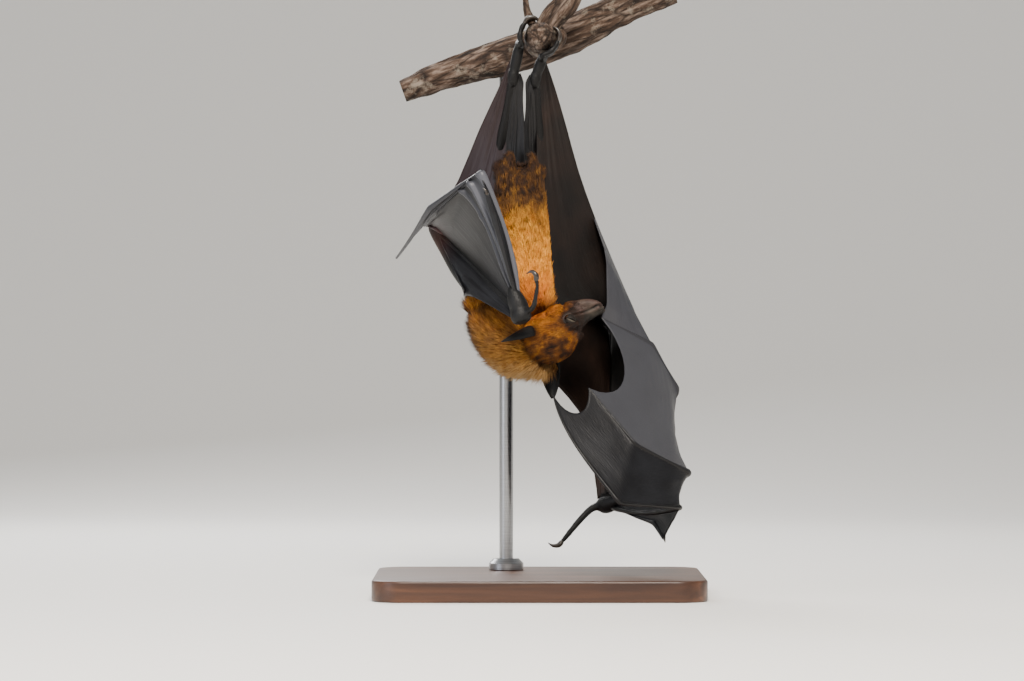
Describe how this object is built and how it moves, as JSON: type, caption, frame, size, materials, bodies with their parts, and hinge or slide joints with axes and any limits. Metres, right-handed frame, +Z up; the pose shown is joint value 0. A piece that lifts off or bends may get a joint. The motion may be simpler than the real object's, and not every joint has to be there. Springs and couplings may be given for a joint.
{
  "type": "fruit bat",
  "caption": "Life-size fruit bat hanging by its feet from a cut piece of branch on a display stand, one wing folded across the chest and the other half open.",
  "frame": {"origin": "on the underside of the stand's base, near its centre and straight below the bat's breast", "axes": "+Z up, the viewer of the picture looks along +Y, so the bat's left wing is on the -X side"},
  "size_m": [0.28, 0.2324, 0.513],
  "materials": {
    "coat": "short dense fur",
    "skin": "bare wing and leg skin with a dull sheen",
    "claw": "polished horn",
    "eye": "wet dark brown eye",
    "bark": "rough furrowed bark",
    "stand_wood": "oiled dark wood",
    "stand_steel": "brushed"
  },
  "bodies": {
    "root": {"ear_left": "skin", "ear_right": "skin", "eye_left": "eye", "eye_right": "eye", "foot_claw_left_1": "claw", "foot_claw_left_2": "claw", "foot_claw_left_3": "claw", "foot_claw_left_4": "claw", "foot_claw_left_5": "claw", "foot_claw_right_1": "claw", "foot_claw_right_2": "claw", "foot_claw_right_3": "claw", "foot_claw_right_4": "claw", "foot_claw_right_5": "claw", "foot_left": "skin", "foot_right": "skin", "head": "coat", "leg_membrane_left": "skin", "leg_membrane_right": "skin", "neck": "coat", "perch": "bark", "shank_left": "skin", "shank_right": "skin", "stand_base": "stand_wood", "stand_collar": "stand_steel", "stand_rod": "stand_steel", "thigh_left": "coat", "thigh_right": "coat", "trunk": "coat", "wing_left_fingers": "skin", "wing_left_forearm": "skin", "wing_left_front_membrane": "skin", "wing_left_index_claw": "claw", "wing_left_palm": "skin", "wing_left_side_membrane": "skin", "wing_left_thumb": "skin", "wing_left_thumb_claw": "claw", "wing_left_upper_arm": "skin", "wing_right_fingers": "skin", "wing_right_forearm": "skin", "wing_right_front_membrane": "skin", "wing_right_index_claw": "claw", "wing_right_palm": "skin", "wing_right_side_membrane": "skin", "wing_right_thumb": "skin", "wing_right_thumb_claw": "claw", "wing_right_upper_arm": "skin"}
  },
  "joints": []
}
